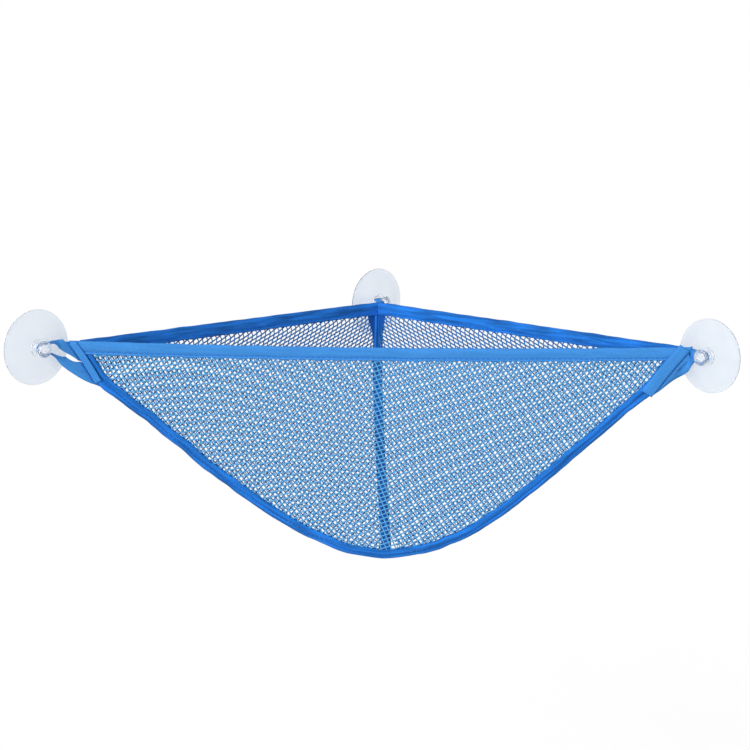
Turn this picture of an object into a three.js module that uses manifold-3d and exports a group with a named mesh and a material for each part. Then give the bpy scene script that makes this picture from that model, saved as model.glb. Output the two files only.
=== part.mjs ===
// Corner-hung bathroom net bag. Three net panels are bound with folded woven tape, and the bag
// hangs by a tape loop at each corner from suction cups: two on the left wall of a room corner and
// one on the right wall. Millimetres and degrees, +Z up. The origin is on the edge where the two
// walls meet, at the height of the cups' axes. +Y points into the corner, +X to the right.

import * as THREE from 'three';
import Module from 'manifold-3d';
import { mergeGeometries, mergeVertices } from 'three/addons/utils/BufferGeometryUtils.js';

const wasm = await Module();
wasm.setup();

// Suction cup
const cupDiameter = 55;
const cupLipWidth = 3;
const cupLipThickness = 0.9;
const cupHollow = 2.2;
const cupShoulder = 6;
const collarDiameter = 13;
const collarStep = 2.4;
const neckDiameter = 5.5;
const headDiameter = 12;
const headHeight = 3.6;
const cupFacets = 28;

// Woven tape and net
const netThickness = 0.6;
const tapeWall = 0.7;
const clearance = 0.3;
const rimTapeWidth = 10.2;
const seamTapeWidth = 9.5;
const seamAllowance = 6;
const netPitch = 25;
const netStrand = 4;
const netHem = 3;
const frontNetTurn = 23.5;
const backNetTurn = 45;

// Bag: the two back rims run from the back corner to the front corners
const backRimLength = 280;
const backCornerAngle = 97;
const wallStandoff = 24;
const frontLean = 14;
const rimTop = 4.5;
const rimSag = 3;
const bagDrop = 175;
const bottomShift = 4;
const bottomRound = 64;
const sideRun = 85;
const leftSideSlope = 0.88;
const rightSideSlope = 1.03;
const leftTipOut = 20;
const leftCornerDrop = 31;
const leftCornerSlant = 20;
const rightTipOut = 11;
const rightTipRise = 2;
const rightCornerDrop = 33;
const rightCornerSlant = 26;
const cornerRound = 9;
const backSeamFall = 88;
const backSeamIn = 12;
const bottomGather = 20;

// Loops and where the cups sit on the walls
const loopThickness = 1.5;
const frontUpperRoot = 13;
const frontLowerRoot = 15;
const backRoot = 9;
const loopNeckWidth = 3.6;
const backLoopDrop = 30;
const leftLoopReach = 19.7;
const rightLoopReach = 8.9;
const backLoopReach = 14;
const backCupToRightWall = 3.5;

// Facets along each piece
const seamSteps = 44;
const rimSteps = 5;
const panelSteps = 12;
const strandSteps = 9;
const neckSteps = 8;

// Sizes that follow from those above
const tapeSlot = netThickness + 2 * clearance;
const tapeThickness = tapeSlot + 2 * tapeWall;
const neckRadius = neckDiameter / 2;
const neckLength = loopNeckWidth + 2 * clearance;
const neckMiddle = cupShoulder + neckLength / 2;
const rimMouth = rimTop - rimTapeWidth;
const cheekOffset = tapeThickness / 2 + clearance;
const netInset = tapeWall + 2 * clearance + netThickness;
const hingeOffset = clearance + loopThickness / 2;
const up = new THREE.Vector3(0, 0, 1);

const wallHalfTurn = Math.SQRT1_2;
const walls = {
  left: {
    along: new THREE.Vector3(-wallHalfTurn, -wallHalfTurn, 0),
    out: new THREE.Vector3(wallHalfTurn, -wallHalfTurn, 0),
  },
  right: {
    along: new THREE.Vector3(wallHalfTurn, -wallHalfTurn, 0),
    out: new THREE.Vector3(-wallHalfTurn, -wallHalfTurn, 0),
  },
};

// Meshes from rings of points

function solid(points, triangles) {
  const geometry = new THREE.BufferGeometry().setFromPoints(points);
  let volume = 0;
  for (const [a, b, c] of triangles) {
    volume += points[a].dot(new THREE.Vector3().crossVectors(points[b], points[c]));
  }
  const outward = volume > 0 ? triangles : triangles.map(([a, b, c]) => [a, c, b]);
  geometry.setIndex(outward.flat());
  return geometry;
}

function loft(rings, cap) {
  const count = rings[0].length;
  const last = (rings.length - 1) * count;
  const triangles = [];
  for (let i = 0; i + 1 < rings.length; i++) {
    for (let j = 0; j < count; j++) {
      const near = i * count;
      const next = (j + 1) % count;
      triangles.push([near + j, near + next, near + count + next]);
      triangles.push([near + j, near + count + next, near + count + j]);
    }
  }
  for (const [a, b, c] of cap) {
    triangles.push([a, c, b]);
    triangles.push([last + a, last + b, last + c]);
  }
  return solid(rings.flat(), triangles);
}

function slideToPlane(ring, direction, plane) {
  return ring.map((point) => {
    const travel = -plane.distanceToPoint(point) / plane.normal.dot(direction);
    return point.clone().addScaledVector(direction, travel);
  });
}

function planeAt(normal, point, offset) {
  const unit = normal.clone().normalize();
  const through = point.clone().addScaledVector(unit, offset);
  return new THREE.Plane().setFromNormalAndCoplanarPoint(unit, through);
}

function manifoldOf(geometry) {
  const bare = new THREE.BufferGeometry();
  bare.setAttribute('position', geometry.getAttribute('position'));
  bare.setIndex(geometry.getIndex());
  const merged = mergeVertices(bare, 1e-4);
  return new wasm.Manifold(new wasm.Mesh({
    numProp: 3,
    vertProperties: new Float32Array(merged.getAttribute('position').array),
    triVerts: new Uint32Array(merged.getIndex().array),
  }));
}

function geometryOf(manifold) {
  const mesh = manifold.getMesh();
  const geometry = new THREE.BufferGeometry();
  geometry.setAttribute('position', new THREE.BufferAttribute(mesh.vertProperties, 3));
  geometry.setIndex(new THREE.BufferAttribute(mesh.triVerts, 1));
  return geometry;
}

// Folded binding: a channel whose closed fold is the outer edge and whose slot takes a net's edge

function bindingRing(edge, fin, normal, width) {
  const fold = 0.6 * tapeThickness;
  const cheek = tapeThickness / 2;
  const nose = tapeThickness / 5;
  const slot = tapeSlot / 2;
  const half = [[-width, cheek], [-fold, cheek], [0, nose]];
  const halfSlot = [[-tapeWall, slot], [-fold, slot], [-width, slot]];
  const mirrored = (run) => run.map(([depth, side]) => [depth, -side]).reverse();
  const outside = [...mirrored(half).reverse(), ...half.slice().reverse()];
  const inside = [...halfSlot.slice().reverse(), ...mirrored(halfSlot).reverse()];
  return [...outside, ...inside].map(([depth, side]) => edge.clone()
    .addScaledVector(fin, depth).addScaledVector(normal, side));
}

const bindingCap = [0, 1, 2, 3, 4].flatMap((k) => [[k, k + 1, 10 - k], [k, 10 - k, 11 - k]]);

// Where the bag hangs: the back corner first, then the bag's own axes from it

const backCupReach = cupDiameter / 2 + backCupToRightWall;
const backCornerReach = backCupReach + backLoopReach + seamAllowance + hingeOffset;
const bagTurn = backCornerAngle / 2 - 45;
const halfAngle = THREE.MathUtils.degToRad(backCornerAngle / 2);
const halfFront = backRimLength * Math.sin(halfAngle);
const frontDistance = backRimLength * Math.cos(halfAngle);

const bag = new THREE.Group();
bag.position.copy(walls.left.along).multiplyScalar(backCornerReach);
bag.position.addScaledVector(walls.left.out, wallStandoff);
bag.rotation.z = THREE.MathUtils.degToRad(bagTurn);

// The front panel is flat. Its group's X runs along the rim, Z up the panel and Y through it
const frontPanel = new THREE.Group();
frontPanel.position.set(0, -frontDistance, 0);
frontPanel.rotation.x = THREE.MathUtils.degToRad(frontLean);
bag.add(frontPanel);
const root = new THREE.Group();
root.add(bag);
root.updateMatrixWorld(true);

// Outline of the front panel's binding, left to right, in the panel's own plane

const leftEdge = -halfFront - leftTipOut;
const rightEdge = halfFront + rightTipOut;
const leftCorner = new THREE.Vector2(leftEdge + leftCornerSlant, -leftCornerDrop);
const rightCorner = new THREE.Vector2(rightEdge - rightCornerSlant, -rightCornerDrop);
const leftTop = new THREE.Vector2(leftEdge, rimTop);
const rightTop = new THREE.Vector2(rightEdge, rimTop + rightTipRise);
const bottom = new THREE.Vector2(bottomShift, -bagDrop);
const leftRun = new THREE.Vector2(1, -leftSideSlope);
const rightRun = new THREE.Vector2(-1, -rightSideSlope);

function panelOutline() {
  const onLeftEdge = leftCorner.clone().lerp(leftTop, cornerRound / (leftTop.y - leftCorner.y));
  const onRightEdge = rightCorner.clone().lerp(rightTop, cornerRound / (rightTop.y - rightCorner.y));
  const leftStart = leftCorner.clone().addScaledVector(leftRun, cornerRound);
  const rightEnd = rightCorner.clone().addScaledVector(rightRun, cornerRound);
  const leftPull = leftStart.clone().addScaledVector(leftRun, sideRun - cornerRound);
  const rightPull = rightEnd.clone().addScaledVector(rightRun, sideRun - cornerRound);
  const path = new THREE.Path();
  path.moveTo(leftTop.x, leftTop.y);
  path.lineTo(onLeftEdge.x, onLeftEdge.y);
  path.quadraticCurveTo(leftCorner.x, leftCorner.y, leftStart.x, leftStart.y);
  path.bezierCurveTo(leftPull.x, leftPull.y, bottom.x - bottomRound, bottom.y, bottom.x, bottom.y);
  path.bezierCurveTo(bottom.x + bottomRound, bottom.y, rightPull.x, rightPull.y, rightEnd.x, rightEnd.y);
  path.quadraticCurveTo(rightCorner.x, rightCorner.y, onRightEdge.x, onRightEdge.y);
  path.lineTo(rightTop.x, rightTop.y);
  return path;
}

const outline = panelOutline();

function outlinePoint(share, inset) {
  const point = outline.getPointAt(share);
  const tangent = outline.getTangentAt(share);
  return new THREE.Vector2(point.x - inset * tangent.y, point.y + inset * tangent.x);
}

function rimHeight(x) {
  const share = (x - (leftEdge + rightEdge) / 2) / ((rightEdge - leftEdge) / 2);
  return rimTop + rightTipRise * (1 + share) / 2 - rimSag * (1 - share * share);
}

// Front bindings, in the front panel's plane

const panelThrough = new THREE.Vector3(0, 1, 0);
const rimStations = [];
for (let i = 0; i <= rimSteps; i++) {
  const x = leftEdge + (rightEdge - leftEdge) * i / rimSteps;
  rimStations.push(new THREE.Vector3(x, 0, rimHeight(x)));
}

function underRim(start, end) {
  const rise = new THREE.Vector3().crossVectors(end.clone().sub(start), panelThrough);
  return planeAt(rise, start, -rimTapeWidth - clearance);
}

function frontSeamTape() {
  const rings = [];
  for (let i = 0; i <= seamSteps; i++) {
    const share = i / seamSteps;
    const edge = outline.getPointAt(share);
    const tangent = outline.getTangentAt(share);
    const fin = new THREE.Vector3(tangent.y, 0, -tangent.x);
    rings.push(bindingRing(new THREE.Vector3(edge.x, 0, edge.y), fin, panelThrough, seamTapeWidth));
  }
  const leftMouth = underRim(rimStations[0], rimStations[1]);
  const rightMouth = underRim(rimStations[rimSteps - 1], rimStations[rimSteps]);
  const leftRise = new THREE.Vector3(leftTop.x - leftCorner.x, 0, leftTop.y - leftCorner.y);
  const rightRise = new THREE.Vector3(rightTop.x - rightCorner.x, 0, rightTop.y - rightCorner.y);
  const kept = rings.filter((ring) => ring.every((point) => (
    leftMouth.distanceToPoint(point) < -1 && rightMouth.distanceToPoint(point) < -1)));
  kept.unshift(slideToPlane(kept[0], leftRise, leftMouth));
  kept.push(slideToPlane(kept[kept.length - 1], rightRise, rightMouth));
  return loft(kept, bindingCap);
}

function frontRimTape() {
  const rings = rimStations.map((edge) => bindingRing(edge, up, panelThrough, rimTapeWidth));
  const alongRim = new THREE.Vector3(1, 0, 0);
  const leftCut = new THREE.Vector3(leftTop.y - leftCorner.y, 0, leftCornerSlant);
  const rightCut = new THREE.Vector3(rightTop.y - rightCorner.y, 0, -rightCornerSlant);
  const leftEnd = planeAt(leftCut, new THREE.Vector3(leftTop.x, 0, leftTop.y), 0);
  const rightEnd = planeAt(rightCut, new THREE.Vector3(rightTop.x, 0, rightTop.y), 0);
  rings[0] = slideToPlane(rings[0], alongRim, leftEnd);
  rings[rimSteps] = slideToPlane(rings[rimSteps], alongRim, rightEnd);
  return loft(rings, bindingCap);
}

// Nets: a sheet with a lattice of gaps cut inside its hem

function insidePolygon(polygon, x, y) {
  let inside = false;
  polygon.forEach((a, i) => {
    const b = polygon[(i + polygon.length - 1) % polygon.length];
    const spans = (a.y > y) !== (b.y > y);
    if (spans && x < (b.x - a.x) * (y - a.y) / (b.y - a.y) + a.x) inside = !inside;
  });
  return inside;
}

function plate(edge, thickness) {
  const extrude = { depth: thickness, bevelEnabled: false };
  return new THREE.ExtrudeGeometry(new THREE.Shape(edge), extrude).translate(0, 0, -thickness / 2);
}

function cutGaps(sheet, region, placed, turn, depth) {
  const gap = netPitch - netStrand;
  const angle = THREE.MathUtils.degToRad(turn);
  const box = new THREE.Box2().setFromPoints(region);
  const middle = box.getCenter(new THREE.Vector2());
  const reach = Math.ceil(box.getSize(new THREE.Vector2()).length() / 2 / netPitch);
  const gaps = [];
  for (let row = -reach; row <= reach; row++) {
    for (let column = -reach; column <= reach; column++) {
      const spot = new THREE.Vector2(column, row).multiplyScalar(netPitch).add(middle);
      spot.rotateAround(middle, angle);
      if (!insidePolygon(region, spot.x, spot.y)) continue;
      const geometry = new THREE.BoxGeometry(gap, gap, depth);
      gaps.push(geometry.rotateZ(angle).translate(spot.x, spot.y, 0));
    }
  }
  const cutter = manifoldOf(mergeGeometries(gaps).applyMatrix4(placed));
  const limit = manifoldOf(plate(region, depth).applyMatrix4(placed));
  return geometryOf(manifoldOf(sheet).subtract(cutter.intersect(limit)));
}

function frontNet() {
  const count = 2 * seamSteps;
  const hemTop = rimMouth - rimSag - netHem;
  const edge = [];
  const hem = [];
  for (let i = 0; i <= count; i++) {
    const point = outlinePoint(i / count, netInset);
    if (point.y < rimHeight(point.x) - netInset) edge.push(point);
    const inner = outlinePoint(i / count, seamTapeWidth + netHem);
    if (inner.y < hemTop) hem.push(inner);
  }
  const first = edge[0];
  const last = edge[edge.length - 1];
  for (let i = rimSteps; i >= 0; i--) {
    const x = THREE.MathUtils.lerp(first.x, last.x, i / rimSteps);
    edge.push(new THREE.Vector2(x, rimHeight(x) - netInset));
  }
  const upright = new THREE.Matrix4().makeRotationX(Math.PI / 2);
  const sheet = plate(edge, netThickness).applyMatrix4(upright);
  return cutGaps(sheet, hem, upright, frontNetTurn, 4 * netThickness);
}

// Back panels: each row of the sheet runs straight from the front seam to the back seam

const frontNormal = panelThrough.clone().transformDirection(frontPanel.matrix);
const frontCheek = planeAt(frontNormal, frontPanel.position, cheekOffset);

function onFront(point) {
  return new THREE.Vector3(point.x, 0, point.y).applyMatrix4(frontPanel.matrix);
}

function backSeamCurve() {
  const top = new THREE.Vector3(0, 0, rimTop);
  const turn = new THREE.Vector3(0, -backSeamIn, rimTop - backSeamFall);
  const straightEnd = top.clone().lerp(turn, (backLoopDrop + backRoot) / backSeamFall);
  const curve = new THREE.CurvePath();
  curve.add(new THREE.LineCurve3(top, straightEnd));
  const low = onFront(outlinePoint(bottomShare, seamAllowance));
  curve.add(new THREE.QuadraticBezierCurve3(straightEnd, turn, low));
  return curve;
}

const bottomShare = lowestShare();
const backSeam = backSeamCurve();

function lowestShare() {
  let best = 0;
  for (let i = 0; i <= 10 * seamSteps; i++) {
    const share = i / (10 * seamSteps);
    if (outline.getPointAt(share).y < outline.getPointAt(best).y) best = share;
  }
  return best;
}

function panelRowEnds(side) {
  const seamLength = outline.getLength() * bottomShare;
  const [top, corner] = side === 'left' ? [leftTop, leftCorner] : [rightTop, rightCorner];
  const levelWithRim = seamAllowance * Math.abs(top.x - corner.x) / (top.y - corner.y);
  const ends = [];
  for (let row = 0; row <= panelSteps; row++) {
    const down = row / panelSteps;
    const fall = THREE.MathUtils.lerp(netInset, seamLength - bottomGather, down) / seamLength;
    const frontFall = fall + levelWithRim * (1 - down) / seamLength;
    const share = side === 'left' ? bottomShare * frontFall : 1 - (1 - bottomShare) * frontFall;
    ends.push({ front: onFront(outlinePoint(share, seamAllowance)), back: backSeam.getPointAt(fall) });
  }
  return ends;
}

const leftEnds = panelRowEnds('left');
const rightEnds = panelRowEnds('right');

// The back seam's binding lies in the plane of the left back panel; its frame at each row
const seamFrames = leftEnds.map(({ front, back }, row) => {
  const above = leftEnds[Math.max(row - 1, 0)].back;
  const below = leftEnds[Math.min(row + 1, panelSteps)].back;
  const fin = back.clone().sub(front).normalize();
  const tangent = below.clone().sub(above).normalize();
  const normal = new THREE.Vector3().crossVectors(tangent, fin).normalize();
  const outward = new THREE.Vector3().crossVectors(normal, tangent);
  const edge = back.clone().addScaledVector(fin, seamAllowance);
  return { fin, tangent, normal, outward, back, edge };
});

function panelGrid(side) {
  return (side === 'left' ? leftEnds : rightEnds).map(({ front, back }, row) => {
    const run = back.clone().sub(front).normalize();
    const start = slideToPlane([front], run, frontCheek)[0];
    const butt = planeAt(seamFrames[row].normal, back, cheekOffset);
    const end = side === 'left'
      ? back.clone().addScaledVector(run, seamAllowance - netInset)
      : slideToPlane([back], run, butt)[0];
    const points = [];
    for (let column = 0; column <= rimSteps; column++) {
      points.push(start.clone().lerp(end, column / rimSteps));
    }
    return { run, butt, points };
  });
}

function gridNormal(grid, row, column) {
  const above = grid[Math.max(row - 1, 0)].points[column];
  const below = grid[Math.min(row + 1, panelSteps)].points[column];
  const fall = below.clone().sub(above);
  return new THREE.Vector3().crossVectors(fall, grid[row].run).normalize();
}

function backSheet(side, grid) {
  const columns = rimSteps + 1;
  const layer = (panelSteps + 1) * columns;
  const points = [];
  for (const face of [netThickness / 2, -netThickness / 2]) {
    grid.forEach(({ run, butt, points: line }, row) => {
      const offset = line.map((point, column) => point.clone()
        .addScaledVector(gridNormal(grid, row, column), face));
      offset[0] = slideToPlane([offset[0]], run, frontCheek)[0];
      if (side === 'right') offset[rimSteps] = slideToPlane([offset[rimSteps]], run, butt)[0];
      points.push(...offset);
    });
  }
  const triangles = [];
  const quad = (a, b, c, d) => triangles.push([a, b, c], [a, c, d]);
  for (let row = 0; row < panelSteps; row++) {
    for (let column = 0; column < rimSteps; column++) {
      const a = row * columns + column;
      quad(a, a + 1, a + columns + 1, a + columns);
      quad(layer + a, layer + a + columns, layer + a + columns + 1, layer + a + 1);
    }
    const near = row * columns;
    quad(near, near + columns, layer + near + columns, layer + near);
    const far = near + rimSteps;
    quad(far, layer + far, layer + far + columns, far + columns);
  }
  for (let column = 0; column < rimSteps; column++) {
    quad(column, layer + column, layer + column + 1, column + 1);
    const low = panelSteps * columns + column;
    quad(low, low + 1, layer + low + 1, layer + low);
  }
  return solid(points, triangles);
}

function backNet(side) {
  const grid = panelGrid(side);
  const corner = (row, column) => grid[row].points[column];
  const along = corner(0, rimSteps).clone().sub(corner(0, 0)).normalize();
  const fall = corner(panelSteps, 0).clone().sub(corner(0, 0).clone().lerp(corner(0, rimSteps), 0.5));
  const through = new THREE.Vector3().crossVectors(along, fall).normalize();
  const rise = new THREE.Vector3().crossVectors(through, along);
  const placed = new THREE.Matrix4().makeBasis(along, rise, through).setPosition(corner(0, 0));
  const flatten = placed.clone().invert();
  const backHem = seamTapeWidth + netHem - netInset;
  const frontSide = [];
  const backSide = [];
  for (let row = 0; row <= panelSteps; row++) {
    const line = grid[row].points;
    const run = grid[row].run;
    const start = line[0].clone().addScaledVector(run, netHem);
    const end = line[rimSteps].clone().addScaledVector(run, side === 'left' ? -backHem : -netHem);
    if (start.clone().sub(end).dot(run) > -netPitch / 2) continue;
    frontSide.push(start);
    backSide.push(end);
  }
  const rimHem = (rimTapeWidth + netHem - netInset) / frontSide[0].distanceTo(frontSide[1]);
  frontSide[0].lerp(frontSide[1], rimHem);
  backSide[0].lerp(backSide[1], rimHem);
  const region = [...frontSide, ...backSide.reverse()].map((point) => {
    const flat = point.applyMatrix4(flatten);
    return new THREE.Vector2(flat.x, flat.y);
  });
  return cutGaps(backSheet(side, grid), region, placed, backNetTurn, bagDrop);
}

function backRimTape(side) {
  const grid = panelGrid(side);
  const top = grid[0].points;
  const run = grid[0].run;
  const rings = top.map((point, column) => {
    const normal = gridNormal(grid, 0, column);
    const fin = new THREE.Vector3().crossVectors(run, normal).normalize();
    const rise = fin.z > 0 ? fin : fin.negate();
    return bindingRing(point.clone().addScaledVector(rise, netInset), rise, normal, rimTapeWidth);
  });
  const { outward, edge } = seamFrames[0];
  const backEnd = side === 'left' ? planeAt(outward, edge, 0) : grid[0].butt;
  rings[0] = slideToPlane(rings[0], run, frontCheek);
  rings[rimSteps] = slideToPlane(rings[rimSteps], run, backEnd);
  return loft(rings, bindingCap);
}

function backSeamTape() {
  const rings = seamFrames.map(({ fin, normal, edge }) => bindingRing(edge, fin, normal, seamTapeWidth));
  const { fin, normal, back, tangent } = seamFrames[0];
  const rise = new THREE.Vector3().crossVectors(normal, fin);
  const backMouth = planeAt(rise, back, netInset - rimTapeWidth - clearance);
  rings[0] = slideToPlane(rings[0], tangent, backMouth);
  rings.push(slideToPlane(rings[panelSteps], seamFrames[panelSteps].tangent, frontCheek));
  return loft(rings, bindingCap);
}

// Suction cup: thin lip, shallow hollow, collar, neck and mushroom head

function suctionCup() {
  const radius = cupDiameter / 2;
  const hollowRadius = radius - cupLipWidth;
  const collar = collarDiameter / 2;
  const headBase = cupShoulder + neckLength;
  const head = headDiameter / 2;
  const dome = (share) => cupHollow * (1 - share * share);
  const shoulderTop = cupShoulder - collarStep;
  const shoulder = (share) => THREE.MathUtils.lerp(shoulderTop, cupLipThickness, share ** 0.8);
  const profile = [];
  for (const share of [0, 0.3, 0.6, 0.85, 1]) profile.push([hollowRadius * share, dome(share)]);
  profile.push([radius, 0]);
  for (const share of [1, 0.75, 0.5, 0.25, 0]) {
    profile.push([THREE.MathUtils.lerp(collar, radius, share), shoulder(share)]);
  }
  profile.push([collar - collarStep, cupShoulder], [neckRadius, cupShoulder], [neckRadius, headBase]);
  profile.push([head, headBase], [head, headBase + 0.35 * headHeight]);
  profile.push([0.8 * head, headBase + 0.8 * headHeight], [0, headBase + headHeight]);
  const points = profile.map(([r, h]) => new THREE.Vector2(r, h));
  return new THREE.LatheGeometry(points, cupFacets).rotateX(Math.PI / 2);
}

// Tape loop: a strap that leaves the corner's hinge line at a slant, narrows and turns flat round the
// cup's neck, and comes back to the hinge line lower down

function strapRing({ centre, wide, tangent, width, thickness }) {
  const thick = new THREE.Vector3().crossVectors(tangent, wide).normalize();
  const half = width / 2;
  const side = thickness / 2;
  const shape = [[half, side / 2], [half - side, side], [side - half, side], [-half, side / 2]];
  const ring = [...shape, ...shape.map(([across, through]) => [-across, -through])];
  return ring.map(([across, through]) => centre.clone()
    .addScaledVector(wide, across).addScaledVector(thick, through));
}

const strapCap = [1, 2, 3, 4, 5, 6].map((k) => [0, k, k + 1]);

function strandStations(root, rootWide, rootWidth, neckPoint, neckRun, neckWide) {
  const run = neckPoint.clone().sub(root);
  const pull = run.length() / 3;
  run.normalize();
  const curve = new THREE.CubicBezierCurve3(root, root.clone().addScaledVector(run, pull),
    neckPoint.clone().addScaledVector(neckRun, -pull), neckPoint);
  const offEdge = run.clone().addScaledVector(rootWide, -run.dot(rootWide)).normalize();
  const stations = [[0.5, 0.2], [0.35, 0.75]].map(([setback, share]) => ({
    centre: root.clone().addScaledVector(offEdge, -setback * loopThickness),
    wide: rootWide,
    tangent: run,
    width: rootWidth,
    thickness: share * loopThickness,
  }));
  for (let i = 0; i <= strandSteps; i++) {
    const share = i / strandSteps;
    const tangent = curve.getTangentAt(share);
    const wide = rootWide.clone().lerp(neckWide, THREE.MathUtils.smoothstep(share, 0.4, 1));
    const squared = THREE.MathUtils.smoothstep(share, 0, 0.6);
    wide.addScaledVector(tangent, -wide.dot(tangent) * squared).normalize();
    const narrowed = THREE.MathUtils.smoothstep(share, 0, 0.9);
    const width = THREE.MathUtils.lerp(rootWidth, loopNeckWidth, narrowed);
    stations.push({ centre: curve.getPointAt(share), wide, tangent, width, thickness: loopThickness });
  }
  return stations;
}

function tapeLoop({ top, low, upperWidth, lowerWidth, neck, along, out }) {
  const down = low.clone().sub(top).normalize();
  const strapRadius = neckRadius + clearance + loopThickness / 2;
  const underHead = Math.sqrt((headDiameter / 2 + clearance) ** 2 - (neckRadius + clearance) ** 2);
  const upperRoot = top.clone().addScaledVector(down, clearance + upperWidth / 2);
  const lowerRoot = low.clone().addScaledVector(down, -cornerRound - clearance);
  const beside = neck.clone().addScaledVector(along, -underHead);
  const overNeck = beside.clone().addScaledVector(up, strapRadius);
  const underNeck = beside.clone().addScaledVector(up, -strapRadius);
  const stations = strandStations(upperRoot, down, upperWidth, overNeck, along, out);
  for (let i = 0; i <= neckSteps; i++) {
    const angle = Math.PI * i / neckSteps;
    const spoke = up.clone().multiplyScalar(Math.cos(angle)).addScaledVector(along, Math.sin(angle));
    const tangent = along.clone().multiplyScalar(Math.cos(angle)).addScaledVector(up, -Math.sin(angle));
    const centre = neck.clone().addScaledVector(spoke, strapRadius);
    stations.push({ centre, wide: out, tangent, width: loopNeckWidth, thickness: loopThickness });
  }
  const upwards = down.clone().negate();
  const lower = strandStations(lowerRoot, upwards, lowerWidth, underNeck, along, out);
  for (const station of lower.reverse()) {
    stations.push({ ...station, tangent: station.tangent.clone().negate() });
  }
  return loft(stations.map(strapRing), strapCap);
}

// Hinge lines of the loops, along the outer edge of each corner, and the cups that they reach

function frontHinge(top, low) {
  const fall = low.clone().sub(top).normalize();
  const outward = new THREE.Vector2(-fall.y, fall.x).multiplyScalar(Math.sign(top.x));
  const place = (point) => {
    const shifted = point.clone().addScaledVector(outward, hingeOffset);
    return frontPanel.localToWorld(new THREE.Vector3(shifted.x, 0, shifted.y));
  };
  const widths = { upperWidth: frontUpperRoot, lowerWidth: frontLowerRoot };
  return { top: place(top), low: place(low), ...widths };
}

function backHinge() {
  const { outward, tangent, edge } = seamFrames[0];
  const top = edge.clone().addScaledVector(outward, hingeOffset).addScaledVector(tangent, -netInset);
  const low = top.clone().addScaledVector(tangent, backLoopDrop);
  const widths = { upperWidth: backRoot, lowerWidth: backRoot };
  return { top: bag.localToWorld(top), low: bag.localToWorld(low), ...widths };
}

const hangers = {
  left: { ...walls.left, ...frontHinge(leftTop, leftCorner), away: 1, reach: leftLoopReach },
  right: { ...walls.right, ...frontHinge(rightTop, rightCorner), away: 1, reach: rightLoopReach },
  back: { ...walls.left, ...backHinge(), away: -1, reach: backLoopReach },
};

const tapeMaterial = { color: 0x2f7de1, roughness: 0.85, metalness: 0 };
const netMaterial = { color: 0x5b9bea, roughness: 0.8, metalness: 0 };
const cupMaterial = { color: 0xe4effa, roughness: 0.15, metalness: 0, transparent: true, opacity: 0.5 };

function addPiece(parent, name, geometry, material) {
  const piece = new THREE.Mesh(geometry, new THREE.MeshStandardMaterial(material));
  piece.name = name;
  parent.add(piece);
}

addPiece(frontPanel, 'front_net', frontNet(), netMaterial);
addPiece(frontPanel, 'front_rim_tape', frontRimTape(), tapeMaterial);
addPiece(frontPanel, 'front_seam_tape', frontSeamTape(), tapeMaterial);
for (const side of ['left', 'right']) {
  addPiece(bag, `back_${side}_net`, backNet(side), netMaterial);
  addPiece(bag, `back_${side}_rim_tape`, backRimTape(side), tapeMaterial);
}
addPiece(bag, 'back_seam_tape', backSeamTape(), tapeMaterial);

for (const [name, hanger] of Object.entries(hangers)) {
  const reach = hanger.top.dot(hanger.along) + hanger.away * hanger.reach;
  const wallPoint = hanger.along.clone().multiplyScalar(reach);
  const neck = wallPoint.clone().addScaledVector(hanger.out, neckMiddle);
  const along = hanger.along.clone().multiplyScalar(hanger.away);
  addPiece(root, `${name}_loop`, tapeLoop({ ...hanger, neck, along }), tapeMaterial);
  const cup = new THREE.Group();
  cup.position.copy(wallPoint);
  cup.quaternion.setFromUnitVectors(up, hanger.out);
  root.add(cup);
  addPiece(cup, `${name}_suction_cup`, suctionCup(), cupMaterial);
}

export default root;
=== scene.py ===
import math

import bmesh
import bpy
import numpy as np
from mathutils import Matrix, Vector, geometry, noise
from mathutils.bvhtree import BVHTree


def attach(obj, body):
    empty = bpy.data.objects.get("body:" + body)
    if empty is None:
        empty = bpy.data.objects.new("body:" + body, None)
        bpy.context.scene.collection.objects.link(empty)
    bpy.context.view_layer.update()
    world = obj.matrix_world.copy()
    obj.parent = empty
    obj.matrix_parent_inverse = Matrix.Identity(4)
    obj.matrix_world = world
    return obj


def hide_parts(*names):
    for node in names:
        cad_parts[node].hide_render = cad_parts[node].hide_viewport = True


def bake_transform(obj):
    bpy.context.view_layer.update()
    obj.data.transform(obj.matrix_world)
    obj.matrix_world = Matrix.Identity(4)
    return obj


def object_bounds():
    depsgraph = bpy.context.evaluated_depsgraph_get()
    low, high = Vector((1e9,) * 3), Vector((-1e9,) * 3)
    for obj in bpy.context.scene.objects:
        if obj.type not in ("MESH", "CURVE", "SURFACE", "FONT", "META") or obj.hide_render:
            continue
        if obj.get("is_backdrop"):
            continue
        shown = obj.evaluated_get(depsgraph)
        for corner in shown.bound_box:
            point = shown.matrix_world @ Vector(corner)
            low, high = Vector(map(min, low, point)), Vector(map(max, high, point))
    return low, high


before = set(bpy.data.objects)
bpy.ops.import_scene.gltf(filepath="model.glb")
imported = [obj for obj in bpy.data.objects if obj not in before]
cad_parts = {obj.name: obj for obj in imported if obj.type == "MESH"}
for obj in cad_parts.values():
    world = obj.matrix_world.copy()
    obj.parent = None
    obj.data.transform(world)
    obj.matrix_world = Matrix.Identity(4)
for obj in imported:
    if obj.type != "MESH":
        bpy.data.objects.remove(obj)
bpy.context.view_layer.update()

# Front net: the flat panel that faces the room, cut from knitted polyester net with its threads at
# a slant. It is straight along the top and round at the bottom, and its raw edge is sewn inside
# folded bindings. The bag hangs in a room's corner, so its place is set off from the left wall.
mm = 0.001
upward = Vector((0, 0, 1))
corner_reach = 52.05 * mm
wall_standoff = 24 * mm
back_rim_length = 280 * mm
back_corner_angle = math.radians(97)
front_lean = math.radians(14)
left_wall_along = Vector((-1, -1, 0)).normalized()
left_wall_out = Vector((1, -1, 0)).normalized()
half_front = back_rim_length * math.sin(back_corner_angle / 2)
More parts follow.
